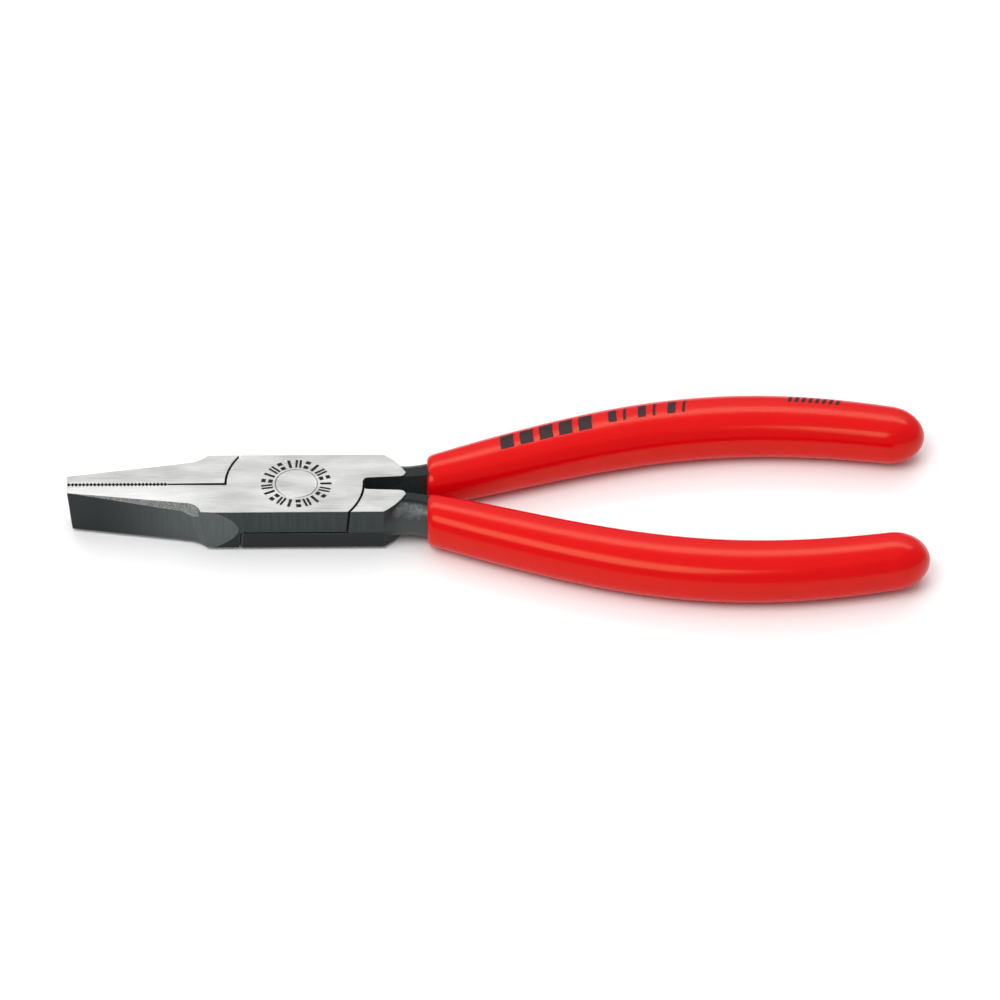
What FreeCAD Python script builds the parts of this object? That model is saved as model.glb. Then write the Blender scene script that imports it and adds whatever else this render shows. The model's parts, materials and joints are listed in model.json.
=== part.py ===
import FreeCAD, Part
import math
import os

import Sketcher

# Flat nose pliers, 160 mm long, with a lap joint on one rivet and dipped plastic handles.
#
# Row frame: the pliers lie flat. +X runs from the jaws to the handle ends, +Y points to the
# upper handle, +Z is out of the front face of the head. The origin is the middle of the
# bounding box's underside. Every piece is drawn about the pivot, in its own frame, with the
# pivot axis on Z and the middle of the head's thickness at Z = 0, and its Placement puts it
# where it belongs. The rear lever and its sleeve are drawn like the front ones and turned over
# about X, because the two halves of these pliers are the same forging.

doc = FreeCAD.newDocument("flat_nose_pliers")
sheet = doc.addObject("Spreadsheet::Sheet", "dims")

# Driving dimensions, in millimetres and degrees.
DIMENSIONS = {
    # whole tool, along X from the pivot
    "jaw_length": 42.6,
    "handle_reach": 117.4,
    # head
    "head_width": 15.8,
    "head_thickness": 8.8,
    "head_corner": 16.2,
    "head_end": 20.3,
    "head_end_height": 3.1,
    "head_end_radius": 14.0,
    "head_nose_radius": 1.15,
    "core_half_length": 8.0,
    "front_lap": 5.18,
    "rear_lap": 3.58,
    "lap_radius": 12.65,
    "lap_shift": 0.3,
    "lap_gap": 0.42,
    "lap_draft": 4.0,
    "lap_groove_width": 0.34,
    "lap_groove_depth": 0.4,
    "slot_half_width": 1.6,
    "slot_end": 12.5,
    "slot_corner": 0.8,
    "slot_flare": 0.3,
    # jaws
    "jaw_tip_height": 2.25,
    "jaw_taper": 9.0,
    "shoulder": 18.0,
    "shoulder_radius": 5.8,
    "shoulder_slant": 1.7,
    "tip_slant": 0.9,
    "jaw_clearance": 0.08,
    "overcut": 0.1,
    "grip_end": 23.9,
    "relief_start_gap": 0.2,
    "relief_end_gap": 0.3,
    "relief_end": 12.0,
    "tooth_count": 27,
    "tooth_pitch": 0.69,
    "tooth_depth": 0.42,
    "tooth_half_width": 0.3,
    "scoop_radius": 31.0,
    "scoop_slope": 4.0,
    "scoop_end": 10.8,
    "scoop_length": 10.0,
    "bevel_end": 20.4,
    "bevel_width": 1.75,
    "bevel_depth": 0.55,
    "bevel_wheel": 3.0,
    # rivet
    "rivet_head_radius": 4.0,
    "rivet_shank_radius": 3.0,
    "rivet_head_depth": 1.2,
    "rivet_rim": 0.08,
    "rivet_clearance": 0.04,
    # ring of plain marks pressed round the rivet
    "mark_radius": 5.5,
    "mark_length": 2.1,
    "mark_stroke": 0.46,
    "mark_depth": 0.18,
    "mark_groups": 7,
    # necks, and the tangs that run on inside the sleeves
    "root_setback": 1.4,
    "root_inset": 0.3,
    "bulge_setback": 0.9,
    "bulge_relief": 0.2,
    "bulge_inset": 0.1,
    "neck_setback": 0.4,
    "neck_inner": 1.3,
    "neck_outer": 7.5,
    "neck_half_thickness": 4.05,
    "neck_mouth_relief": 0.6,
    "neck_mouth_outer": 8.3,
    "neck_mouth_thinning": 0.15,
    "neck_crown": 0.84,
    "root_half_thickness": 3.8,
    "side_draft": 1.0,
    "tang_half_width": 3.8,
    "tang_half_thickness": 3.4,
    # dipped sleeves
    "sleeve_start": 24.3,
    "mouth_half_width": 4.7,
    "belly_half_width": 6.93,
    "end_half_width": 5.2,
    "mouth_half_thickness": 4.35,
    "belly_half_thickness": 5.56,
    "end_half_thickness": 4.6,
    "sleeve_roundness": 0.8,
    "dome_length": 6.0,
    "rest_height": 5.09,
    # height of the handle's centreline: a Bernstein curve's controls, evenly spaced along X
    "bow_root": 5.2,
    "bow_rise": 12.6,
    "bow_crest": 24.7,
    "bow_fall": 21.1,
    "bow_end": 16.2,
}
for row, (alias, value) in enumerate(DIMENSIONS.items(), start=1):
    sheet.set("A%d" % row, alias)
    sheet.set("B%d" % row, str(value))
    sheet.setAlias("B%d" % row, alias)
doc.recompute()

HALF_THICKNESS = "dims.head_thickness / 2"
HALF_WIDTH = "dims.head_width / 2"

# Where the sections of a handle are taken, as shares of its length from the sleeve's mouth.
TANG_STATIONS = ("0.1", "0.25", "0.45", "0.65", "0.82", "0.93")
SLEEVE_STATIONS = (0.0, 0.12, 0.26, 0.4, 0.54, 0.68, 0.81)

# The sections of the sleeve's domed end, in degrees round the dome.
DOME_TURNS = (0, 25, 50, 70, 84)

# The marks round the rivet, one list of bars each. A bar has its near and far ends as shares of
# the mark's length, and its left and right edges as multiples of the stroke.
MARK_SHAPES = {
    "bar": [(-0.5, 0.5, -0.6, 0.6)],
    "blocks": [(-0.5, -0.12, -1.0, 1.0), (0.12, 0.5, -1.0, 1.0)],
    "bars": [(-0.5, 0.5, -1.25, -0.35), (-0.5, 0.5, 0.35, 1.25)],
}


def worth(expression):
    """The number that an expression stands for now."""
    found = sheet.evalExpression(str(expression))
    return float(getattr(found, "Value", found))


def origin_feature(body, role):
    return next(feature for feature in body.Origin.OriginFeatures if feature.Role == role)


def new_body(label):
    body = doc.addObject("PartDesign::Body", label)
    body.Label = label
    return body


def new_sketch(body, name, role="XY_Plane", offset="0"):
    """A sketch on one of the body's own origin planes, moved along its normal by offset."""
    sketch = body.newObject("Sketcher::SketchObject", name)
    sketch.AttachmentSupport = [(origin_feature(body, role), "")]
    sketch.MapMode = "FlatFace"
    sketch.setExpression("AttachmentOffset.Base.z", str(offset))
    return sketch


def drive(sketch, kind, places, label, expression):
    """Adds one named dimension to a sketch and binds it to an expression."""
    index = sketch.addConstraint(Sketcher.Constraint(kind, *places, worth(expression)))
    sketch.renameConstraint(index, label)
    sketch.setExpression("Constraints." + label, str(expression))


def draw_outline(sketch, corners, arcs=None, prefix="p"):
    """A closed outline through corners, each an (across, up) pair of expressions.

    arcs names the stretches that are round: {first corner: (radius expression, side)}, where
    side is +1 if the arc's centre is to the left of the way round, and -1 if to the right.
    """
    arcs = arcs or {}
    points = [FreeCAD.Vector(worth(across), worth(up), 0) for across, up in corners]
    ends = []
    for number, (start, stop) in enumerate(zip(points, points[1:] + points[:1])):
        if number not in arcs:
            edge = sketch.addGeometry(Part.LineSegment(start, stop), False)
            ends.append((edge, 1, 2))
            continue
        radius_expression, side = arcs[number]
        radius = worth(radius_expression)
        chord = stop - start
        left = FreeCAD.Vector(-chord.y, chord.x, 0).normalize()
        reach = math.sqrt(max(radius ** 2 - (chord.Length / 2) ** 2, 0.0))
        centre = (start + stop) * 0.5 + left * (reach * side)
        first, last = (start, stop) if side > 0 else (stop, start)
        angles = [math.atan2(end.y - centre.y, end.x - centre.x) for end in (first, last)]
        circle = Part.Circle(centre, FreeCAD.Vector(0, 0, 1), radius)
        edge = sketch.addGeometry(Part.ArcOfCircle(circle, angles[0], angles[1]), False)
        ends.append((edge, 1, 2) if side > 0 else (edge, 2, 1))
    for number, (edge, first, last) in enumerate(ends):
        after, after_first, _ = ends[(number + 1) % len(ends)]
        sketch.addConstraint(Sketcher.Constraint("Coincident", edge, last, after, after_first))
        across, up = corners[number]
        drive(sketch, "DistanceX", (-1, 1, edge, first), "%s%d_across" % (prefix, number), across)
        drive(sketch, "DistanceY", (-1, 1, edge, first), "%s%d_up" % (prefix, number), up)
        if number in arcs:
            drive(sketch, "Radius", (edge,), "%s%d_radius" % (prefix, number), arcs[number][0])


def extrude(body, kind, sketch, length, symmetric=False):
    """A Pad or a Pocket of a sketch."""
    before = volume(body)
    feature = body.newObject("PartDesign::" + kind, sketch.Name + kind)
    feature.Profile = sketch
    feature.setExpression("Length", length)
    feature.SideType = "Symmetric" if symmetric else "One side"
    return settle(body, feature, before)


def volume(body):
    return body.Shape.Volume if body.Tip else 0.0


def settle(body, feature, before):
    """Recomputes after a new feature, and stops if it has changed nothing."""
    doc.recompute()
    change = body.Shape.Volume - before
    if abs(change) < 1e-6:
        raise RuntimeError(feature.Name + " changes nothing")
    return feature


def cone(body, kind, name, low_radius, high_radius, height, low):
    """An additive or subtractive cone of the lap joint, standing on the height called low."""
    before = volume(body)
    feature = body.newObject("PartDesign::%sCone" % kind, name)
    feature.AttachmentSupport = [(origin_feature(body, "XY_Plane"), "")]
    feature.MapMode = "FlatFace"
    feature.setExpression("AttachmentOffset.Base.x", "-dims.lap_shift")
    feature.setExpression("AttachmentOffset.Base.z", low)
    feature.setExpression("Radius1", low_radius)
    feature.setExpression("Radius2", high_radius)
    feature.setExpression("Height", height)
    return settle(body, feature, before)


def bernstein(controls, along):
    """A Bernstein curve through the sheet's cells, as an expression, at a fraction of the way."""
    order = len(controls) - 1
    terms = [
        "%d * (1 - %s) ^ %d * %s ^ %d * dims.%s" % (
            math.comb(order, index), along, order - index, along, index, control)
        for index, control in enumerate(controls)
    ]
    return " + ".join(terms)


def handle_station(along):
    """Where the handle's centreline is at a fraction of the way along the sleeve."""
    across = "dims.sleeve_start + (dims.handle_reach - dims.sleeve_start) * %s" % along
    height = bernstein(["bow_root", "bow_rise", "bow_crest", "bow_fall", "bow_end"], along)
    return across, height


def loft(body, name, sections):
    before = volume(body)
    feature = body.newObject("PartDesign::AdditiveLoft", name)
    feature.Profile = sections[0]
    feature.Sections = sections[1:]
    return settle(body, feature, before)


# --- levers ------------------------------------------------------------------------------------

def jaw_side():
    """The outer edge of the jaw: its corner at the tip, its direction and its outward normal."""
    taper = math.radians(worth("dims.jaw_taper"))
    tip = FreeCAD.Vector(-worth("dims.jaw_length"), -worth("dims.jaw_tip_height"), 0)
    along = FreeCAD.Vector(math.cos(taper), -math.sin(taper), 0)
    outward = FreeCAD.Vector(-math.sin(taper), -math.cos(taper), 0)
    return tip, along, outward


def shoulder_hollow():
    """The shoulder is a hollow of one radius, tangent to the jaw's side, which ends at the side
    of the head. Returns the point of tangency and the hollow's centre."""
    radius = worth("dims.shoulder_radius")
    tip, along, outward = jaw_side()
    end = FreeCAD.Vector(-worth("dims.shoulder"), -worth(HALF_WIDTH), 0)
    gap = (end - tip).dot(outward)
    reach = math.sqrt(radius ** 2 - (radius - gap) ** 2)
    tangency = tip + along * ((end - tip).dot(along) - reach)
    return tangency, tangency + outward * radius


def blank_outline(body):
    """The lever from above: lower jaw, core, upper half of the head and the root of its neck."""
    tangency, _ = shoulder_hollow()
    corners = [
        ("-dims.jaw_length", "-dims.jaw_clearance"),
        ("-dims.jaw_length", "-dims.jaw_tip_height"),
        (tangency.x, tangency.y),
        ("-dims.shoulder", "-dims.head_width / 2"),
        ("dims.core_half_length", "-dims.head_width / 2"),
        ("dims.core_half_length", "dims.slot_half_width - dims.slot_corner"),
        ("dims.slot_end", "dims.slot_half_width - dims.slot_corner"),
        ("dims.slot_end + dims.slot_corner", "dims.slot_half_width"),
        ("dims.head_end - dims.head_nose_radius", "dims.slot_half_width + dims.slot_flare"),
        ("dims.head_end", "dims.head_end_height"),
        ("dims.head_corner", "dims.head_width / 2"),
        ("-dims.core_half_length", "dims.head_width / 2"),
        ("-dims.core_half_length", "-dims.relief_end_gap"),
        ("-dims.relief_end", "-dims.relief_end_gap"),
        ("-dims.grip_end", "-dims.relief_start_gap"),
        ("-dims.grip_end", "-dims.jaw_clearance"),
    ]
    arcs = {
        2: ("dims.shoulder_radius", -1),
        6: ("dims.slot_corner", -1),
        8: ("dims.head_nose_radius", 1),
        9: ("dims.head_end_radius", 1),
    }
    sketch = new_sketch(body, body.Label + "_blank")
    draw_outline(sketch, corners, arcs)
    return sketch


def add_lap(body, lap):
    """Halves the head: the far side is bored away for the other lever, the near side is filled."""
    slope = "tan(dims.lap_draft)"
    step = "(dims.head_thickness / 2 - dims.%s)" % lap
    bore = "dims.head_thickness - dims.%s" % lap
    cone(body, "Subtractive", body.Label + "_lap_pocket",
         "dims.lap_radius + dims.lap_gap",
         "dims.lap_radius + dims.lap_gap - (%s) * %s" % (bore, slope),
         bore, "-dims.head_thickness / 2")
    cone(body, "Additive", body.Label + "_lap",
         "dims.lap_radius - dims.%s * %s" % (lap, slope), "dims.lap_radius",
         "dims.%s" % lap, step)
    sketch = new_sketch(body, body.Label + "_flats")
    for number, side in enumerate(("", "-")):
        draw_outline(sketch, [
            ("-dims.head_width", side + "dims.head_width / 2"),
            ("dims.head_width", side + "dims.head_width / 2"),
            ("dims.head_width", side + "dims.head_width"),
            ("-dims.head_width", side + "dims.head_width"),
        ], prefix="side%d_" % number)
    extrude(body, "Pocket", sketch, "dims.head_thickness * 2", symmetric=True)
    groove_lap_edges(body, step)


def groove_lap_edges(body, step):
    """Half of the fine groove along the joint, on the two sides of the head."""
    sketch = new_sketch(body, body.Label + "_lap_groove", "YZ_Plane")
    for number, side in enumerate(("", "-")):
        inner = side + "(dims.head_width / 2 - dims.lap_groove_depth)"
        outer = side + "(dims.head_width / 2 + dims.overcut)"
        draw_outline(sketch, [
            (inner, step + " - dims.overcut"),
            (outer, step + " - dims.overcut"),
            (outer, step + " + dims.lap_groove_width / 2"),
            (inner, step + " + dims.lap_groove_width / 2"),
        ], prefix="groove%d_" % number)
    extrude(body, "Pocket", sketch, "2 * sqrt(dims.lap_radius ^ 2 - (dims.head_width / 2) ^ 2)",
            symmetric=True)


def handle_section(body, name, across, inner, outer, half_thickness):
    """A forged section: thick and round outside, drawn in to a ridge on the hand's side."""
    crown = "(%s) * dims.neck_crown" % half_thickness
    crown_radius = "(%s) * (1 + dims.neck_crown ^ 2) / (2 * dims.neck_crown)" % half_thickness
    sketch = new_sketch(body, name, "YZ_Plane", across)
    draw_outline(sketch, [
        (inner, "0"),
        ("(%s) + dims.side_draft" % inner, "-(%s)" % half_thickness),
        ("(%s) - %s" % (outer, crown), "-(%s)" % half_thickness),
        ("(%s) - %s" % (outer, crown), half_thickness),
        ("(%s) + dims.side_draft" % inner, half_thickness),
    ], {2: (crown_radius, 1)})
    return sketch


def add_handle(body):
    """The neck behind the head and the tang that carries the sleeve."""
    sections = [
        handle_section(body, body.Label + "_root", "dims.slot_end + dims.root_setback",
                       "dims.slot_half_width + dims.slot_flare",
                       "dims.head_width / 2 - dims.root_inset",
                       "dims.root_half_thickness"),
        handle_section(body, body.Label + "_bulge", "dims.head_corner + dims.bulge_setback",
                       "dims.neck_inner + dims.bulge_relief",
                       "dims.head_width / 2 - dims.bulge_inset",
                       "dims.neck_half_thickness"),
        handle_section(body, body.Label + "_neck", "dims.head_end + dims.neck_setback",
                       "dims.neck_inner", "dims.neck_outer", "dims.neck_half_thickness"),
        handle_section(body, body.Label + "_mouth", "dims.sleeve_start",
                       "dims.neck_inner + dims.neck_mouth_relief", "dims.neck_mouth_outer",
                       "dims.neck_half_thickness - dims.neck_mouth_thinning"),
    ]
    for number, along in enumerate(TANG_STATIONS):
        across, height = handle_station(along)
        sections.append(handle_section(
            body, "%s_tang%d" % (body.Label, number), across,
            "(%s) - dims.tang_half_width" % height, "(%s) + dims.tang_half_width" % height,
            "dims.tang_half_thickness"))
    loft(body, body.Label + "_handle", sections)


def cut_teeth(body):
    """The cross-cut grip: V grooves in the jaw's inner face, from the tip backwards."""
    sketch = new_sketch(body, body.Label + "_tooth")
    middle = "-dims.jaw_length + dims.tooth_pitch / 2"
    mouth = "dims.tooth_half_width * (1 + dims.overcut / dims.tooth_depth)"
    draw_outline(sketch, [
        (middle + " - " + mouth, "dims.overcut - dims.jaw_clearance"),
        (middle, "-dims.jaw_clearance - dims.tooth_depth"),
        (middle + " + " + mouth, "dims.overcut - dims.jaw_clearance"),
    ])
    tooth = extrude(body, "Pocket", sketch, "dims.head_thickness * 2", symmetric=True)
    before = volume(body)
    pattern = body.newObject("PartDesign::LinearPattern", body.Label + "_teeth")
    pattern.Originals = [tooth]
    pattern.Direction = (origin_feature(body, "X_Axis"), [""])
    pattern.setExpression("Length", "dims.tooth_pitch * (dims.tooth_count - 1)")
    pattern.setExpression("Occurrences", "dims.tooth_count")
    body.Tip = pattern
    settle(body, pattern, before)


def slant_tip(body, long_side):
    """The ends of the closed jaws are ground together, a little out of square.

    long_side is the sign of the face, in the lever's own frame, where the jaw stays longest.
    """
    sketch = new_sketch(body, body.Label + "_tip", "XZ_Plane")
    long_face = "%d * (dims.head_thickness / 2 + dims.overcut)" % long_side
    short_face = "%d * (dims.head_thickness / 2 + dims.overcut)" % -long_side
    draw_outline(sketch, [
        ("-dims.jaw_length", long_face),
        ("-dims.jaw_length - dims.overcut", long_face),
        ("-dims.jaw_length - dims.overcut", short_face),
        ("-dims.jaw_length + dims.tip_slant", short_face),
    ])
    extrude(body, "Pocket", sketch, "dims.head_width * 2", symmetric=True)


def place_tool(feature, body, base, rotation):
    """Attaches a cutting primitive to the body's XY plane with a fixed offset."""
    feature.AttachmentSupport = [(origin_feature(body, "XY_Plane"), "")]
    feature.MapMode = "FlatFace"
    feature.AttachmentOffset = FreeCAD.Placement(base, rotation)


def cut_shoulder(body):
    """Slants the shoulder's hollow, so that it ends further back on the far face."""
    before = volume(body)
    _, centre = shoulder_hollow()
    _, along, _ = jaw_side()
    down = FreeCAD.Vector(0, 0, -worth("dims.head_thickness"))
    drift = down + along * worth("dims.shoulder_slant")
    feature = body.newObject("PartDesign::SubtractiveCylinder", body.Label + "_shoulder")
    feature.setExpression("Radius", "dims.shoulder_radius")
    feature.setExpression("Height", "2 * dims.head_thickness")
    place_tool(feature, body, centre - down * 0.5 - drift * 0.5,
               FreeCAD.Rotation(FreeCAD.Vector(0, 0, 1), drift))
    settle(body, feature, before)


def cut_side_scoop(body):
    """A shallow hollow on the side of the head, which runs out in a point."""
    before = volume(body)
    slope = math.radians(worth("dims.scoop_slope"))
    along = FreeCAD.Vector(-math.cos(slope), math.sin(slope), 0)
    outward = FreeCAD.Vector(-math.sin(slope), -math.cos(slope), 0)
    foot = FreeCAD.Vector(-worth("dims.scoop_end"), -worth(HALF_WIDTH), 0)
    feature = body.newObject("PartDesign::SubtractiveCylinder", body.Label + "_scoop")
    feature.setExpression("Radius", "dims.scoop_radius")
    feature.setExpression("Height", "dims.scoop_length")
    place_tool(feature, body, foot + outward * worth("dims.scoop_radius"),
               FreeCAD.Rotation(FreeCAD.Vector(0, 0, 1), along))
    settle(body, feature, before)


def cut_jaw_bevel(body):
    """A bevel on the jaw's outer front edge. It starts as nothing at the tip, is widest at the
    shoulder, and runs out there as round as the wheel that ground it."""
    tip, along, outward = jaw_side()
    tip = tip + FreeCAD.Vector(0, 0, worth(HALF_THICKNESS))
    corner = tip + along * (worth("dims.jaw_length - dims.bevel_end") / along.x)
    on_face = corner - outward * worth("dims.bevel_depth")
    on_side = corner - FreeCAD.Vector(0, 0, worth("dims.bevel_width"))
    run = (on_face + on_side) * 0.5 - tip
    axis = FreeCAD.Vector(run).normalize()
    normal = (on_side - tip).cross(on_face - tip).normalize()
    across = normal.cross(axis)
    reach = worth("dims.bevel_wheel")
    before = volume(body)
    plane = body.newObject("PartDesign::SubtractiveBox", body.Label + "_bevel")
    plane.Length = run.Length + reach
    plane.setExpression("Width", "2 * dims.bevel_wheel")
    plane.setExpression("Height", "dims.bevel_wheel")
    place_tool(plane, body, tip - (across + axis) * reach,
               FreeCAD.Rotation(axis, across, normal, "ZXY"))
    settle(body, plane, before)
    before = volume(body)
    wheel = body.newObject("PartDesign::SubtractiveCylinder", body.Label + "_bevel_end")
    wheel.setExpression("Radius", "dims.bevel_wheel")
    wheel.setExpression("Height", "2 * dims.bevel_wheel")
    place_tool(wheel, body, tip + run + (normal - across) * reach,
               FreeCAD.Rotation(FreeCAD.Vector(0, 0, 1), across))
    settle(body, wheel, before)


def bore_rivet_hole(body, clearance):
    """The rivet's hole, countersunk at the front for its head."""
    room = "dims.rivet_clearance" if clearance else "0"
    sketch = new_sketch(body, body.Label + "_rivet_hole", "XZ_Plane")
    draw_outline(sketch, [
        ("0", "dims.head_thickness / 2 + dims.overcut"),
        ("0", "-dims.head_thickness / 2 - dims.overcut"),
        ("dims.rivet_shank_radius + " + room, "-dims.head_thickness / 2 - dims.overcut"),
        ("dims.rivet_shank_radius + " + room, "dims.head_thickness / 2 - dims.rivet_head_depth"),
        ("dims.rivet_head_radius + " + room, "dims.head_thickness / 2"),
        ("dims.rivet_head_radius + " + room, "dims.head_thickness / 2 + dims.overcut"),
    ])
    before = volume(body)
    feature = body.newObject("PartDesign::Groove", body.Label + "_rivet_bore")
    feature.Profile = sketch
    feature.ReferenceAxis = (sketch, ["V_Axis"])
    feature.Angle = 360
    settle(body, feature, before)


def press_mark(body, name, turn, bars):
    """Pockets one small mark in the front face and repeats it round the rivet."""
    sketch = new_sketch(body, "%s_%s" % (body.Label, name), "XY_Plane", HALF_THICKNESS)
    for number, (near, far, left, right) in enumerate(bars):
        corners = []
        for radial, side in ((near, left), (far, left), (far, right), (near, right)):
            radius = "(dims.mark_radius + dims.mark_length * %s)" % radial
            offset = "(dims.mark_stroke * %s)" % side
            corners.append((
                "%s * cos(%s) - %s * sin(%s)" % (radius, turn, offset, turn),
                "%s * sin(%s) + %s * cos(%s)" % (radius, turn, offset, turn)))
        draw_outline(sketch, corners, prefix="bar%d_" % number)
    mark = extrude(body, "Pocket", sketch, "dims.mark_depth")
    before = volume(body)
    pattern = body.newObject("PartDesign::PolarPattern", "%s_%ss" % (body.Label, name))
    pattern.Originals = [mark]
    pattern.Axis = (origin_feature(body, "Z_Axis"), [""])
    pattern.Angle = 360
    pattern.setExpression("Occurrences", "dims.mark_groups")
    body.Tip = pattern
    settle(body, pattern, before)


def press_marks(body):
    """Three plain shapes in turn: a bar, a pair of blocks and two slimmer bars."""
    for number, (name, bars) in enumerate(MARK_SHAPES.items()):
        turn = "(360 / dims.mark_groups / %d * %d)" % (len(MARK_SHAPES), number)
        press_mark(body, name, turn, bars)


def build_lever(label, lap, tight_rivet, tip_side):
    """One forging, ground and toothed, with its half of the lap and its handle."""
    body = new_body(label)
    extrude(body, "Pad", blank_outline(body), "dims.head_thickness", symmetric=True)
    cut_shoulder(body)
    cut_side_scoop(body)
    cut_jaw_bevel(body)
    slant_tip(body, tip_side)
    cut_teeth(body)
    add_lap(body, lap)
    add_handle(body)
    bore_rivet_hole(body, clearance=not tight_rivet)
    return body


# --- rivet -------------------------------------------------------------------------------------

def build_rivet(label):
    """Closed flush on both faces, with a head countersunk into each lever."""
    body = new_body(label)
    sketch = new_sketch(body, label + "_profile", "XZ_Plane")
    face = HALF_THICKNESS
    shoulder = "(dims.head_thickness / 2 - dims.rivet_head_depth)"
    rim = "(dims.head_thickness / 2 - dims.rivet_rim)"
    draw_outline(sketch, [
        ("0", "-" + face),
        ("dims.rivet_head_radius - 2 * dims.rivet_rim", "-" + face),
        ("dims.rivet_head_radius - dims.rivet_rim", "-" + rim),
        ("dims.rivet_shank_radius", "-" + shoulder),
        ("dims.rivet_shank_radius", shoulder),
        ("dims.rivet_head_radius - dims.rivet_rim", rim),
        ("dims.rivet_head_radius - 2 * dims.rivet_rim", face),
        ("0", face),
    ])
    feature = body.newObject("PartDesign::Revolution", label + "_turned")
    feature.Profile = sketch
    feature.ReferenceAxis = (sketch, ["V_Axis"])
    feature.Angle = 360
    settle(body, feature, 0.0)
    return body


# --- sleeves -----------------------------------------------------------------------------------

def sleeve_section(body, name, along, shrink):
    """A rounded section of the sleeve, shrunk about its middle by a factor at the dome."""
    across, height = handle_station(along)
    width = "(%s) * %s" % (
        bernstein(["mouth_half_width", "belly_half_width", "end_half_width"], along), shrink)
    thick = "(%s) * %s" % (
        bernstein(["mouth_half_thickness", "belly_half_thickness", "end_half_thickness"], along),
        shrink)
    radius = "(%s) * dims.sleeve_roundness" % thick
    left, right = "(%s) - (%s)" % (height, width), "(%s) + (%s)" % (height, width)
    low, high = "-(%s)" % thick, "(%s)" % thick
    sketch = new_sketch(body, name, "YZ_Plane", across)
    draw_outline(sketch, [
        ("%s + %s" % (left, radius), low),
        ("%s - %s" % (right, radius), low),
        (right, "%s + %s" % (low, radius)),
        (right, "%s - %s" % (high, radius)),
        ("%s - %s" % (right, radius), high),
        ("%s + %s" % (left, radius), high),
        (left, "%s - %s" % (high, radius)),
        (left, "%s + %s" % (low, radius)),
    ], {1: (radius, 1), 3: (radius, 1), 5: (radius, 1), 7: (radius, 1)})
    return sketch


def build_sleeve(label, lever):
    """A dipped sleeve with a domed end. The lever's tang is cut out of it."""
    form = new_body(label + "_form")
    dome_start = 1 - worth("dims.dome_length / (dims.handle_reach - dims.sleeve_start)")
    stations = [(along, 1.0) for along in SLEEVE_STATIONS]
    for turn in DOME_TURNS:
        along = dome_start + (1 - dome_start) * math.sin(math.radians(turn))
        stations.append((along, math.cos(math.radians(turn))))
    sections = [
        sleeve_section(form, "%s_section%d" % (label, number), "%.5f" % along, "%.5f" % shrink)
        for number, (along, shrink) in enumerate(stations)
    ]
    loft(form, label + "_outside", sections)
    place(form, turned_over=lever.Label == "rear_lever")
    sleeve = doc.addObject("Part::Cut", label)
    sleeve.Label = label
    sleeve.Base = form
    sleeve.Tool = lever
    return sleeve


# --- assembly ----------------------------------------------------------------------------------

def place(body, turned_over=False):
    """Moves a piece from the pivot's frame to the row frame, turned about X if it is behind."""
    turn = 180 if turned_over else 0
    body.Placement = FreeCAD.Placement(
        FreeCAD.Vector(0, 0, 0), FreeCAD.Rotation(FreeCAD.Vector(1, 0, 0), turn))
    body.setExpression("Placement.Base.x", "-(dims.handle_reach - dims.jaw_length) / 2")
    body.setExpression("Placement.Base.z", "dims.rest_height")


front_lever = build_lever("front_lever", "front_lap", tight_rivet=True, tip_side=1)
press_marks(front_lever)
place(front_lever)
rear_lever = build_lever("rear_lever", "rear_lap", tight_rivet=False, tip_side=-1)
place(rear_lever, turned_over=True)
pivot_rivet = build_rivet("pivot_rivet")
place(pivot_rivet)
doc.recompute()
upper_handle_sleeve = build_sleeve("upper_handle_sleeve", front_lever)
lower_handle_sleeve = build_sleeve("lower_handle_sleeve", rear_lever)
doc.recompute()

NODES = [front_lever, rear_lever, pivot_rivet, upper_handle_sleeve, lower_handle_sleeve]

for thing in doc.Objects:
    if "Invalid" in thing.State or "Error" in thing.State:
        raise RuntimeError("%s is %s" % (thing.Label, thing.State))
for node in NODES:
    if node.Shape.isNull() or not node.Shape.isValid():
        raise RuntimeError(node.Label + " has no valid shape")

os.makedirs("parts", exist_ok=True)
for node in NODES:
    node.Shape.exportStep("parts/%s.step" % node.Label)
    box = node.Shape.BoundBox
    print("%-20s %8.1f mm3  solids %d  X %.2f..%.2f  Y %.2f..%.2f  Z %.2f..%.2f" % (
        node.Label, node.Shape.Volume, len(node.Shape.Solids),
        box.XMin, box.XMax, box.YMin, box.YMax, box.ZMin, box.ZMax))
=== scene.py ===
import json
import math

import bpy
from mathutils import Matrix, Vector


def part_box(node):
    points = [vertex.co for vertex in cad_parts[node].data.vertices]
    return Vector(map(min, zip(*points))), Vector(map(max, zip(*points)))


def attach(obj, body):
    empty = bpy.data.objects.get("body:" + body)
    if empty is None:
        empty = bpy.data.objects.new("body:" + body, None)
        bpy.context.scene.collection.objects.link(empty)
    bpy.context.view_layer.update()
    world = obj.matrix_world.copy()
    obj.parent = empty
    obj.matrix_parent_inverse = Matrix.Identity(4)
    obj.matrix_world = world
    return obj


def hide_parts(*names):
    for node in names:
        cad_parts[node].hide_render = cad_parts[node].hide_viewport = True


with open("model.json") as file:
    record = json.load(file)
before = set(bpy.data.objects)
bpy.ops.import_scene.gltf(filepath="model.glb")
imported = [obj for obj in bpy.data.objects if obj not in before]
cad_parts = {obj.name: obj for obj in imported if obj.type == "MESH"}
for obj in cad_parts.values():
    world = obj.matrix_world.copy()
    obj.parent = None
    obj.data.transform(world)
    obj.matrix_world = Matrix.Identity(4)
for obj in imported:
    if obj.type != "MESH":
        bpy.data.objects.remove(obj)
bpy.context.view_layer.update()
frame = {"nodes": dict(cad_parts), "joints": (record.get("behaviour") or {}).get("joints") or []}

MM = 0.001

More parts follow.
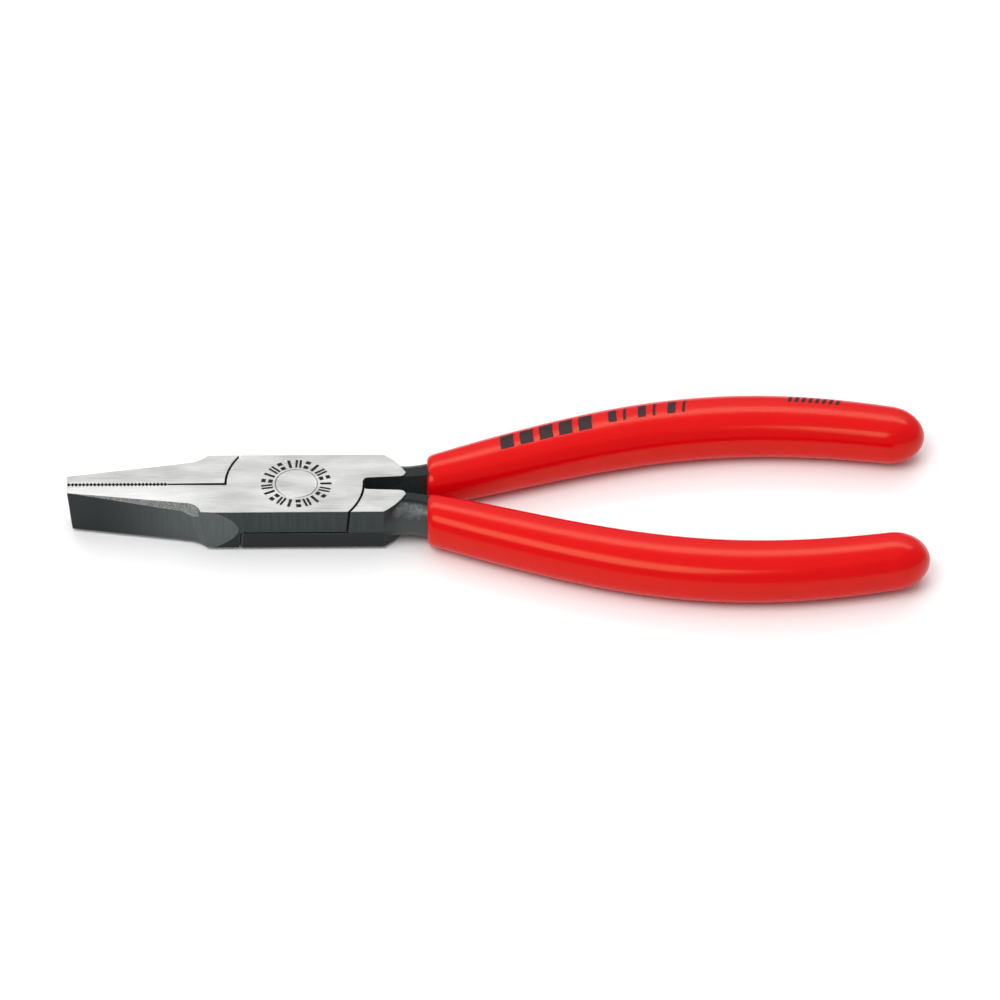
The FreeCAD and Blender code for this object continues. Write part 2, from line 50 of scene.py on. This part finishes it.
# Places taken from the frame, in metres. X runs from the jaws to the handles, and Z is up.
PIVOT = Vector(frame["joints"][0]["pos_m"])
HEAD_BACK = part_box("front_lever")[0].z
HEAD_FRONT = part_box("front_lever")[1].z
MID_PLANE = (HEAD_BACK + HEAD_FRONT) / 2
HALF_HEAD = (HEAD_FRONT - HEAD_BACK) / 2
SLEEVE_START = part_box("upper_handle_sleeve")[0].x
SLEEVE_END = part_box("upper_handle_sleeve")[1].x

# The body that each sleeve rides on, and the side of the tool that it is on.
SLEEVE_BODIES = {"upper_handle_sleeve": ("front_half", 1), "lower_handle_sleeve": ("rear_half", -1)}


# --- node helpers ------------------------------------------------------------------------------

class Graph:
    """A short way to write a material's node tree."""

    def __init__(self, name):
        self.material = bpy.data.materials.new(name)
        self.material.use_nodes = True
        self.nodes = self.material.node_tree.nodes
        self.links = self.material.node_tree.links
        self.shader = self.nodes["Principled BSDF"]

    def node(self, kind, inputs=None, **settings):
        made = self.nodes.new("ShaderNode" + kind)
        for key, value in settings.items():
            setattr(made, key, value)
        for key, value in (inputs or {}).items():
            self.feed(made.inputs[key], value)
        return made

    def feed(self, socket, value):
        """Links a socket to the one it reads, or sets it to a constant."""
        if isinstance(value, bpy.types.NodeSocket):
            self.links.new(value, socket)
        else:
            socket.default_value = value

    def coordinate(self, output="Object"):
        return self.node("TexCoord").outputs[output]

    def axes(self, output="Object"):
        """The X, Y and Z of a texture coordinate."""
        return self.node("SeparateXYZ", {0: self.coordinate(output)}).outputs

    def math(self, operation, first, second=0.0):
        return self.node("Math", {0: first, 1: second}, operation=operation).outputs[0]

    def both(self, first, second):
        """A mask that is on where both masks are."""
        return self.math("MULTIPLY", first, second)

    def between(self, value, low, high, out_low=0.0, out_high=1.0, smooth=True):
        """Maps value from low..high to out_low..out_high, and holds it there outside."""
        made = self.node("MapRange", {"Value": value, "From Min": low, "From Max": high,
                                      "To Min": out_low, "To Max": out_high},
                         interpolation_type="SMOOTHSTEP" if smooth else "LINEAR")
        return made.outputs["Result"]

    def mix(self, factor, first, second):
        """A colour from first, where factor is 0, to second, where it is 1."""
        return self.node("Mix", {0: factor, 6: first, 7: second}, data_type="RGBA").outputs[2]

    def blend(self, factor, first, second):
        """The same as mix, for numbers."""
        return self.node("Mix", {0: factor, 2: first, 3: second}, data_type="FLOAT").outputs[0]

    def noise(self, scale, detail=2.0, roughness=0.5):
        """Noise in the piece's own space. Scale is in cycles per metre, along each axis."""
        mapped = self.node("Mapping", {"Vector": self.coordinate(), "Scale": scale})
        made = self.node("TexNoise", {"Vector": mapped.outputs[0], "Scale": 1.0,
                                      "Detail": detail, "Roughness": roughness})
        return made.outputs["Fac"]

    def bump(self, height, distance, strength, normal=None):
        made = self.node("Bump", {"Height": height, "Distance": distance, "Strength": strength})
        if normal is not None:
            self.feed(made.inputs["Normal"], normal)
        return made.outputs["Normal"]

    def finish(self, **sockets):
        """Feeds the shader's sockets, named with underscores, and returns the material."""
        for key, value in sockets.items():
            self.feed(self.shader.inputs[key.replace("_", " ")], value)
        return self.material


def even(cycles):
    """The scale of a noise that is the same along each axis."""
    return (cycles, cycles, cycles)


# --- steel ---------------------------------------------------------------------------------------

# Noise scales, in cycles per metre: brushing runs along X, and the marks of grinding along Z.
BRUSH_SCALE = (150.0, 4200.0, 4200.0)
BRUSH_PATCH_SCALE = (110.0, 330.0, 330.0)
GRIND_SCALE = (2600.0, 2600.0, 120.0)
GRAIN_SCALE = even(3600.0)
MOTTLE_SCALE = even(700.0)

# How much of the brushed tone comes from the fine streaks. The rest comes from the patches.
STREAK_SHARE = 0.62

# The stretch of each noise that runs from none to full, and the roughness that streaks give.
TONE_RANGE = (0.34, 0.62)
STREAK_RANGE = (0.3, 0.7)
GRIND_RANGE = (0.3, 0.7)
GRAIN_RANGE = (0.36, 0.64)
MOTTLE_RANGE = (0.40, 0.74)
BRUSHED_ROUGHNESS = (0.26, 0.42)

# Where each finish starts and ends, in metres.
# Painted light: a brighter pool of steel colour on the lower jaw, where light gathers.
JAW_PAINTED_LIGHT_X = (PIVOT.x - 30 * MM, PIVOT.x - 10 * MM)
JAW_PAINTED_LIGHT_Y = (PIVOT.y - 3 * MM, PIVOT.y + 2 * MM)
JAW_PAINTED_LIGHT_MOST = 0.8
JAW_END_X = (PIVOT.x - 10 * MM, PIVOT.x - 9 * MM)
# Painted light on the jaw's sloping faces fades out towards the tip over this stretch.
SLOPE_LIGHT_FADE_X = (PIVOT.x - 38 * MM, PIVOT.x - 15 * MM)
NECK_X = (PIVOT.x + 17 * MM, PIVOT.x + 20 * MM)
# Painted shade: the flat sides are painted darker below this height.
SHADE_BELOW_LAP_Z = (MID_PLANE - 0.9 * MM, MID_PLANE - 0.7 * MM)
FACE_HEIGHT = (HALF_HEAD - 0.05 * MM, HALF_HEAD - 0.02 * MM)

# How far the surface leans where each finish starts and is full, as parts of its normal.
# The first picks the jaw's faces that slope towards the tip, which are painted lighter as if lit.
TAPER_LEAN = (-0.055, -0.035)
NECK_OUTWARD = (-0.1, 0.3)
# Where the neck faces up it gets mottled patches of wear and painted highlight.
NECK_HIGHLIGHT_UPWARD = (0.30, 0.60)
BEVEL_LEAN = (0.17, 0.22)
# The last picks flat faces below the ground faces, such as the floors of recesses, which are
# painted near-black as shade.
RECESS_LEAN = (0.90, 0.97)

# How alike the true and rounded normals are at an edge that is fully worn and painted with
# highlight, and at one that isn't.
EDGE_WEAR_HIGHLIGHT_LIKENESS = (0.80, 0.93)
EDGE_WEAR_HIGHLIGHT_MOST = 0.75

# Bright steel, from its darkest streaks to its lightest, and a painted pool of light on the lower
# jaw.
BRUSHED_DARK = (0.27, 0.27, 0.265, 1)
BRUSHED_LIGHT = (0.53, 0.53, 0.52, 1)
JAW_PAINTED_LIGHT = (0.60, 0.60, 0.59, 1)

# Black oxide. Where a pair is given, the noise runs from the first colour to the second.
OXIDE_SIDE = ((0.020, 0.027, 0.028, 1), (0.029, 0.038, 0.039, 1))
# Painted shade on the flat sides below the lap's joint, darker than the oxide.
PAINTED_SHADE_UNDER_LAP = (0.008, 0.011, 0.011, 1)
# Painted light on the jaw's faces that slope towards the tip, from the light end at the head to the
# dark tip.
SLOPE_PAINTED_LIGHT = ((0.074, 0.087, 0.087, 1), (0.092, 0.106, 0.106, 1))
SLOPE_PAINTED_LIGHT_TIP = (0.010, 0.014, 0.015, 1)
# The neck, with lighter mottled patches: rubbed-bare wear and painted highlight.
NECK_WEAR_AND_HIGHLIGHT = ((0.048, 0.056, 0.056, 1), (0.15, 0.165, 0.162, 1))
OXIDE_BEVEL = ((0.10, 0.112, 0.108, 1), (0.30, 0.32, 0.31, 1))
# Oxide in recesses, painted darker than the sides' oxide as shade.
OXIDE_AND_SHADE_IN_RECESS = (0.004, 0.005, 0.005, 1)
# Worn edges, painted lighter: bare steel and a painted highlight where edges catch light.
WORN_EDGE_AND_HIGHLIGHT = (0.22, 0.235, 0.23, 1)

# The shader's other values for the levers and the rivet.
OXIDE_METALLIC = 0.2
OXIDE_ROUGHNESS = 0.44
STEEL_SPECULAR = 0.35
STEEL_BUMP_DISTANCE = 0.003 * MM
STEEL_BUMP_STRENGTH = 0.5

# How far in from an edge the rounding, the wear and its painted highlight reach, and how many
# samples find it.
EDGE_RADIUS = 0.12 * MM
EDGE_SAMPLES = 6


def ground_steel(graph):
    """Colour, roughness and height of bright steel, ground along X, with painted light on the lower
    jaw.
    """
    streaks = graph.noise(BRUSH_SCALE, detail=5.0, roughness=0.65)
    patches = graph.noise(BRUSH_PATCH_SCALE)
    tone = graph.math("ADD", graph.math("MULTIPLY", streaks, STREAK_SHARE),
                      graph.math("MULTIPLY", patches, 1 - STREAK_SHARE))
    colour = graph.mix(graph.between(tone, *TONE_RANGE, smooth=False), BRUSHED_DARK, BRUSHED_LIGHT)
    place = graph.axes()
    # Painted light: the lower jaw's steel is made brighter towards the tip, where light gathers.
    ahead = graph.between(place[0], *JAW_PAINTED_LIGHT_X, 1.0, 0.0)
    lower = graph.between(place[1], *JAW_PAINTED_LIGHT_Y, JAW_PAINTED_LIGHT_MOST, 0.0)
    colour = graph.mix(graph.both(ahead, lower), colour, JAW_PAINTED_LIGHT)
    rough = graph.between(streaks, *STREAK_RANGE, *BRUSHED_ROUGHNESS)
    return colour, rough, streaks


def oxide_side(graph, place, grind):
    """The flat sides of the head, with painted shade below the lap's joint."""
    side = graph.mix(grind, *OXIDE_SIDE)
    shaded_below = graph.between(place[2], *SHADE_BELOW_LAP_Z, 1.0, 0.0)
    return graph.mix(shaded_below, side, PAINTED_SHADE_UNDER_LAP)


def slope_painted_light(graph, place, grind):
    """The jaw's faces that slope towards the tip, and its shoulder: painted light, light at the
    head and dark at the tip.
    """
    from_tip = graph.between(place[0], *SLOPE_LIGHT_FADE_X)
    return graph.mix(from_tip, SLOPE_PAINTED_LIGHT_TIP, graph.mix(grind, *SLOPE_PAINTED_LIGHT))


def neck_wear_and_highlight(graph, normal):
    """The forged neck, lighter in mottled patches where it faces up: rubbed-bare wear and painted
    highlight.
    """
    mottle = graph.between(graph.noise(MOTTLE_SCALE, detail=4.0, roughness=0.7), *MOTTLE_RANGE)
    highlight_upward = graph.between(normal[2], *NECK_HIGHLIGHT_UPWARD)
    return graph.mix(graph.both(mottle, highlight_upward), *NECK_WEAR_AND_HIGHLIGHT)


def oxide_bevel(graph):
    """The coarse, speckled bevel along the jaw."""
    grain = graph.noise(GRAIN_SCALE, roughness=0.7)
    return graph.mix(graph.between(grain, *GRAIN_RANGE, smooth=False), *OXIDE_BEVEL)


def black_oxide(graph):
    """Colour and height of the blackened forging, by where it is and which way it faces, with
    painted light and shade.
    """
    place = graph.axes()
    normal = graph.axes("Normal")
    height = graph.noise(GRIND_SCALE, detail=3.0, roughness=0.55)
    grind = graph.between(height, *GRIND_RANGE)
    on_jaw = graph.between(place[0], *JAW_END_X, 1.0, 0.0)
    # Painted light: faces that slope towards the tip are made lighter, as if lit.
    lit_slope = graph.between(normal[0], *TAPER_LEAN, 1.0, 0.0)
    colour = graph.mix(graph.both(lit_slope, on_jaw), oxide_side(graph, place, grind),
                       slope_painted_light(graph, place, grind))
    outward = graph.math("MULTIPLY", normal[1], graph.math("SIGN", place[1]))
    on_neck = graph.both(graph.between(outward, *NECK_OUTWARD), graph.between(place[0], *NECK_X))
    colour = graph.mix(on_neck, colour, neck_wear_and_highlight(graph, normal))
    tilt = graph.math("ABSOLUTE", normal[2])
    on_bevel = graph.both(graph.between(tilt, *BEVEL_LEAN), on_jaw)
    colour = graph.mix(on_bevel, colour, oxide_bevel(graph))
    # Painted shade: faces that point along Z below the ground faces are darkened as shade in
    # recesses.
    recess_shade = graph.between(tilt, *RECESS_LEAN)
    return graph.mix(recess_shade, colour, OXIDE_AND_SHADE_IN_RECESS), height


def lever_steel():
    """Bright ground faces, worn edges painted with highlight, and black oxide everywhere else."""
    graph = Graph("lever_steel_ground_and_blackened")
    off_middle = graph.math("ABSOLUTE", graph.math("SUBTRACT", graph.axes()[2], MID_PLANE))
    bright = graph.between(off_middle, *FACE_HEIGHT)
    colour, rough, streaks = ground_steel(graph)
    black, grind = black_oxide(graph)
    rounded = graph.node("Bevel", {"Radius": EDGE_RADIUS}, samples=EDGE_SAMPLES).outputs[0]
    true_normal = graph.node("NewGeometry").outputs["Normal"]
    likeness = graph.node("VectorMath", {0: rounded, 1: true_normal}, operation="DOT_PRODUCT")
    # Worn edges and a painted highlight: steel colour where the rounded normal parts from the true
    # one.
    edge_wear_and_highlight = graph.between(likeness.outputs["Value"], *EDGE_WEAR_HIGHLIGHT_LIKENESS, EDGE_WEAR_HIGHLIGHT_MOST, 0.0)
    return graph.finish(
        Base_Color=graph.mix(bright, graph.mix(edge_wear_and_highlight, black, WORN_EDGE_AND_HIGHLIGHT), colour),
        Metallic=graph.between(bright, 0.0, 1.0, OXIDE_METALLIC, 1.0),
        Roughness=graph.blend(bright, OXIDE_ROUGHNESS, rough),
        Normal=graph.bump(graph.blend(bright, grind, streaks),
                          STEEL_BUMP_DISTANCE, STEEL_BUMP_STRENGTH, rounded),
        Specular_IOR_Level=STEEL_SPECULAR)


def rivet_steel():
    """The rivet's faces, ground together with the head's."""
    graph = Graph("rivet_steel_ground")
    colour, rough, streaks = ground_steel(graph)
    return graph.finish(Base_Color=colour, Metallic=1.0, Roughness=rough,
                        Normal=graph.bump(streaks, STEEL_BUMP_DISTANCE, STEEL_BUMP_STRENGTH))


# --- plastic and ink -----------------------------------------------------------------------------

# Noise scales, in cycles per metre: slow clouds of colour, waves left by dipping, and the skin.
CLOUD_SCALE = even(60.0)
WAVE_SCALE = (90.0, 220.0, 220.0)
SKIN_SCALE = even(2600.0)
INK_SCALE = even(3000.0)

# How high the waves and the skin's grain stand, and how strongly they show.
WAVE_DISTANCE = 0.06 * MM
WAVE_STRENGTH = 0.4
SKIN_DISTANCE = 0.002 * MM
SKIN_STRENGTH = 0.3

# Where a pair of colours is given, the noise runs from the first to the second.
PLASTIC_RED = ((0.66, 0.0003, 0.0045, 1), (0.71, 0.0006, 0.0060, 1))
PLASTIC_SKIN_RANGE = (0.2, 0.8)
PLASTIC_ROUGHNESS = (0.17, 0.22)
PLASTIC_SHINE_TINT = (1.0, 0.80, 0.42, 1)
PLASTIC_GLOW_RADIUS = (2 * MM, 0.2 * MM, 0.2 * MM)
INK_DARK = ((0.014, 0.004, 0.006, 1), (0.050, 0.006, 0.010, 1))
INK_RANGE = (0.35, 0.8)


def handle_plastic():
    """Glossy dipped plastic, a little wavy along the handle, with a fine skin."""
    graph = Graph("handle_plastic_red_dipped")
    fine = graph.noise(SKIN_SCALE)
    wavy = graph.bump(graph.noise(WAVE_SCALE), WAVE_DISTANCE, WAVE_STRENGTH)
    return graph.finish(
        Base_Color=graph.mix(graph.noise(CLOUD_SCALE), *PLASTIC_RED),
        Roughness=graph.between(fine, *PLASTIC_SKIN_RANGE, *PLASTIC_ROUGHNESS),
        Normal=graph.bump(fine, SKIN_DISTANCE, SKIN_STRENGTH, wavy),
        IOR=1.45, Specular_IOR_Level=0.36, Specular_Tint=PLASTIC_SHINE_TINT,
        Subsurface_Weight=0.06, Subsurface_Radius=PLASTIC_GLOW_RADIUS, Subsurface_Scale=0.5)


def print_ink():
    """Dark ink, thinner in places."""
    graph = Graph("print_ink_dark")
    thin = graph.between(graph.noise(INK_SCALE, detail=3.0), *INK_RANGE)
    return graph.finish(Base_Color=graph.mix(thin, *INK_DARK), Roughness=0.42,
                        Specular_IOR_Level=0.3)


# --- mesh helpers --------------------------------------------------------------------------------

def spaced(first, last, count):
    return [first + (last - first) * index / (count - 1) for index in range(count)]


def new_piece(name, points, faces, material, smooth=True):
    mesh = bpy.data.meshes.new(name)
    mesh.from_pydata([tuple(point) for point in points], [], faces)
    mesh.update()
    for face in mesh.polygons:
        face.use_smooth = smooth
    piece = bpy.data.objects.new(name, mesh)
    bpy.context.scene.collection.objects.link(piece)
    mesh.materials.append(material)
    return piece


def bridge(rows, count):
    """Quads between closed rows of count points each."""
    faces = []
    for row in range(rows - 1):
        for index in range(count):
            after = (index + 1) % count
            low, high = row * count, (row + 1) * count
            faces.append((low + index, low + after, high + after, high + index))
    return faces


def bernstein(controls, along):
    """A smooth curve through its first and last controls, at a share of the way along it."""
    order = len(controls) - 1
    return sum(math.comb(order, index) * (1 - along) ** (order - index) * along ** index * value
               for index, value in enumerate(controls))


# --- sleeves -------------------------------------------------------------------------------------

# The sleeve's centreline above the pivot, and its half width and half thickness, as controls
# evenly spaced along it.
BOW = [height * MM for height in (5.2, 12.6, 24.7, 21.1, 16.2)]
HALF_WIDTH = [width * MM for width in (4.7, 6.93, 5.2)]
HALF_THICKNESS = [thickness * MM for thickness in (4.30, 5.50, 4.55)]

# The section is a superellipse: 2 is an ellipse, and more is squarer.
SQUARENESS = 2.5

# The dome is at the free end. The lip rounds the mouth, where the section is smaller by a share.
DOME = 6.5 * MM
LIP = 1.3 * MM
LIP_SHRINK = 0.16

# Up to this share of the way, the sections turn from square to X to square to the centreline.
MOUTH_TURN = 0.12

# The end stays this far inside the CAD sleeve's.
END_ROOM = 0.12 * MM

# The mouth is open round the neck: a hole of this share of the section, and this deep.
MOUTH_HOLE = 0.80
MOUTH_DEPTH = 2.0 * MM

# The share of the way each side of a point that its direction is measured over.
NUDGE = 1e-3

# How fine the skin is: points round a ring, rings between lip and dome, and degrees between the
# rings of the lip and of the dome.
RING_POINTS = 48
BODY_RINGS = 60
LIP_STEP = 15
DOME_STEP = 6
QUARTER_TURN = 90


class Sleeve:
    """The outer surface of one sleeve, as a function of the way along it and the angle round it.

    side is +1 for the upper sleeve and -1 for the lower one, which is the same turned over.
    """

    def __init__(self, side):
        self.side = side
        self.length = SLEEVE_END - SLEEVE_START - END_ROOM

    def shrink(self, along):
        """Below 1 in the rounded lip at the mouth and in the dome at the end."""
        from_mouth = along * self.length
        from_end = (1 - along) * self.length
        if from_mouth < LIP:
            return 1 - LIP_SHRINK * (1 - math.sqrt(max(1 - (1 - from_mouth / LIP) ** 2, 0.0)))
        if from_end < DOME:
            return math.sqrt(max(1 - (1 - from_end / DOME) ** 2, 0.0))
        return 1.0

    def centre(self, along):
        return Vector((SLEEVE_START + along * self.length, bernstein(BOW, along), 0))

    def sideways(self, along):
        """The direction across the section, away from the other handle."""
        tangent = (self.centre(along + NUDGE) - self.centre(along - NUDGE)).normalized()
        across = Vector((-tangent.y, tangent.x, 0))
        if along > MOUTH_TURN:
            return across
        return across.lerp(Vector((0, 1, 0)), 1 - along / MOUTH_TURN).normalized()

    def point(self, along, angle, lift=0.0):
        """A point at an angle in radians from the outer side towards the front, raised by lift."""
        width = bernstein(HALF_WIDTH, along) * self.shrink(along) + lift
        thickness = bernstein(HALF_THICKNESS, along) * self.shrink(along) + lift
        out = superellipse(math.cos(angle)) * width
        up = superellipse(math.sin(angle)) * thickness
        place = self.centre(along) + self.sideways(along) * out + Vector((0, 0, up))
        return Vector((place.x, PIVOT.y + place.y * self.side, MID_PLANE + place.z * self.side))

    def ring(self, along):
        return [self.point(along, math.tau * index / RING_POINTS) for index in range(RING_POINTS)]

    def mouth_hole(self, depth):
        """A ring inside the mouth, at a depth from its rim."""
        axis = Vector((SLEEVE_START, PIVOT.y + BOW[0] * self.side, MID_PLANE))
        inward = Vector((depth, 0, 0))
        return [axis.lerp(rim, MOUTH_HOLE) + inward for rim in self.ring(0.0)]

    def stations(self):
        """The share of the way to each ring: they are close together in the lip and the dome."""
        lip = [LIP / self.length * (1 - math.cos(math.radians(turn)))
               for turn in range(0, QUARTER_TURN + 1, LIP_STEP)]
        dome = [1 - DOME / self.length * (1 - math.sin(math.radians(turn)))
                for turn in range(0, QUARTER_TURN, DOME_STEP)]
        return lip + spaced(lip[-1], dome[0], BODY_RINGS)[1:-1] + dome


def superellipse(share):
    """Turns the sine or cosine of an angle into the superellipse's."""
    return math.copysign(abs(share) ** (2 / SQUARENESS), share)


def build_sleeve(node, body, side, material):
    """One closed skin: the floor of the mouth, its wall, the outside and the tip of the dome."""
    sleeve = Sleeve(side)
    rings = [sleeve.mouth_hole(MOUTH_DEPTH), sleeve.mouth_hole(0.0)]
    rings += [sleeve.ring(along) for along in sleeve.stations()]
    points = [point for ring in rings for point in ring]
    last = len(points) - RING_POINTS
    tip = len(points)
    points.append(sleeve.point(1.0, 0.0))
    faces = bridge(len(rings), RING_POINTS)
    faces.append(tuple(reversed(range(RING_POINTS))))
    faces += [(last + index, last + (index + 1) % RING_POINTS, tip) for index in range(RING_POINTS)]
    piece = new_piece(node + "_skin", points, faces, material)
    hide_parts(node)
    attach(piece, body)
    return sleeve


# --- print on the upper sleeve -------------------------------------------------------------------

# The ink stands on the skin, and its patches reach below it so that no gap shows.
PRINT_LIFT = 0.02 * MM
PRINT_ROOT = 0.08 * MM

# The rows of points in a mark, along X and round the sleeve.
MARK_STEPS = 6
MARK_COLUMNS = 6

# Rows of plain marks with no lettering. Lengths are in millimetres along X, from the pivot, and
# angles are in degrees round the sleeve, from its outer side towards the front. The widths are
# taken in turn, and the lean is how far a mark slants towards the jaws.
PRINT_ROWS = [
    {"count": 5, "start": 38.9, "pitch": 3.65, "widths": [2.5], "angles": (64, 97), "lean": 1.1},
    {"count": 6, "start": 59.0, "pitch": 2.75, "widths": [1.5, 0.55], "angles": (64, 92),
     "lean": 0.8},
    {"count": 8, "start": 92.0, "pitch": 1.25, "widths": [0.65], "angles": (57, 78), "lean": 0.3},
]


def print_mark(sleeve, first, last, angles, lean):
    """One closed thin patch from first to last along X, and between two angles in degrees."""
    low, high = angles
    loop = [(angle, PRINT_LIFT) for angle in spaced(low, high, MARK_COLUMNS)]
    loop += [(angle, -PRINT_ROOT) for angle in spaced(high, low, MARK_COLUMNS)]
    points = []
    for station in spaced(first, last, MARK_STEPS):
        for angle, lift in loop:
            shift = lean * (angle - low) / (high - low)
            along = (PIVOT.x + station - shift - SLEEVE_START) / sleeve.length
            points.append(sleeve.point(along, math.radians(angle), lift))
    count = len(loop)
    faces = bridge(MARK_STEPS, count)
    faces.append(tuple(reversed(range(count))))
    faces.append(tuple(range((MARK_STEPS - 1) * count, MARK_STEPS * count)))
    return points, faces


def build_print(sleeve, body, material):
    """All the marks, as one piece."""
    points, faces = [], []
    for row in PRINT_ROWS:
        for index in range(row["count"]):
            first = (row["start"] + row["pitch"] * index) * MM
            width = row["widths"][index % len(row["widths"])] * MM
            more_points, more_faces = print_mark(sleeve, first, first + width, row["angles"],
                                                 row["lean"] * MM)
            faces += [tuple(len(points) + corner for corner in face) for face in more_faces]
            points += more_points
    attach(new_piece("upper_handle_print", points, faces, material, smooth=False), body)


# --- stage ---------------------------------------------------------------------------------------

FLOOR_REACH = 3.0
FLOOR_PATCH_SCALE = even(8.0)
FLOOR_PALE = ((0.95, 0.95, 0.95, 1), (0.97, 0.97, 0.97, 1))
WORLD_STRENGTH = 0.38

# Azimuth and elevation are in degrees, from the front and up. Distance and size are in metres.
# A light that isn't mirrored lights the object but doesn't show in its shine.
SOFTBOXES = {
    "top_fill": {"azimuth": 180, "elevation": 80, "distance": 1.2, "size": (1.2, 1.2),
                 "radiance": 1.2, "mirrored": False},
    "strip_light": {"azimuth": 180, "elevation": 46, "distance": 0.9, "size": (1.3, 0.15),
                    "radiance": 3.4, "mirrored": True},
    "back_softbox": {"azimuth": 180, "elevation": 40, "distance": 1.0, "size": (1.5, 0.6),
                     "radiance": 0.27, "mirrored": True},
    "front_left_softbox": {"azimuth": -40, "elevation": 58, "distance": 1.0, "size": (0.8, 0.55),
                           "radiance": 4.2, "mirrored": True},
}

# The camera's direction, in degrees, its distance, and the width that it takes in there.
VIEW_AZIMUTH = -0.5
VIEW_ELEVATION = 42.0
VIEW_DISTANCE = 2.4
VIEW_WIDTH = 185.5 * MM
NEAR_LIMIT = 0.01

# In millimetres, as Blender has it.
SENSOR_WIDTH = 36.0

# The middle of the view, on the plane of the head's front face.
AIM = Vector((PIVOT.x + 37.8 * MM, PIVOT.y - 4.9 * MM, HEAD_FRONT))


def aimed(name, data, azimuth, elevation, distance):
    """A light or camera that looks at the middle of the view from a direction in degrees."""
    turn, rise = math.radians(azimuth), math.radians(elevation)
    away = Vector((math.sin(turn) * math.cos(rise), -math.cos(turn) * math.cos(rise),
                   math.sin(rise)))
    made = bpy.data.objects.new(name, data)
    made.location = AIM + away * distance
    made.rotation_euler = away.to_track_quat("Z", "Y").to_euler()
    bpy.context.scene.collection.objects.link(made)
    return made


def build_softbox(name, azimuth, elevation, distance, size, radiance, mirrored):
    light = bpy.data.lights.new(name, "AREA")
    light.shape = "RECTANGLE"
    light.size, light.size_y = size
    light.energy = radiance * math.pi * size[0] * size[1]
    aimed(name, light, azimuth, elevation, distance).visible_glossy = mirrored


def build_world():
    world = bpy.data.worlds.new("studio")
    bpy.context.scene.world = world
    world.use_nodes = True
    background = world.node_tree.nodes["Background"]
    background.inputs["Color"].default_value = (1.0, 1.0, 1.0, 1)
    background.inputs["Strength"].default_value = WORLD_STRENGTH


def build_floor():
    graph = Graph("floor_pale")
    material = graph.finish(Base_Color=graph.mix(graph.noise(FLOOR_PATCH_SCALE), *FLOOR_PALE),
                            Roughness=0.6)
    corners = [(-FLOOR_REACH, -FLOOR_REACH, 0), (FLOOR_REACH, -FLOOR_REACH, 0),
               (FLOOR_REACH, FLOOR_REACH, 0), (-FLOOR_REACH, FLOOR_REACH, 0)]
    new_piece("floor", corners, [(0, 1, 2, 3)], material)


def build_camera():
    data = bpy.data.cameras.new("camera")
    data.sensor_width = SENSOR_WIDTH
    data.lens = SENSOR_WIDTH * VIEW_DISTANCE / VIEW_WIDTH
    data.clip_start = NEAR_LIMIT
    bpy.context.scene.camera = aimed("camera", data, VIEW_AZIMUTH, VIEW_ELEVATION, VIEW_DISTANCE)


# Colours are shown as they are, with no film response.
bpy.context.scene.view_settings.view_transform = "Standard"
build_camera()
build_world()
for name, softbox in SOFTBOXES.items():
    build_softbox(name, **softbox)
build_floor()

# --- assembly ------------------------------------------------------------------------------------

steel = lever_steel()
for name in ("front_lever", "rear_lever"):
    frame["nodes"][name].material_slots[0].material = steel
frame["nodes"]["pivot_rivet"].material_slots[0].material = rivet_steel()

plastic = handle_plastic()
for node, (body, side) in SLEEVE_BODIES.items():
    sleeve = build_sleeve(node, body, side, plastic)
    if node == "upper_handle_sleeve":
        build_print(sleeve, body, print_ink())
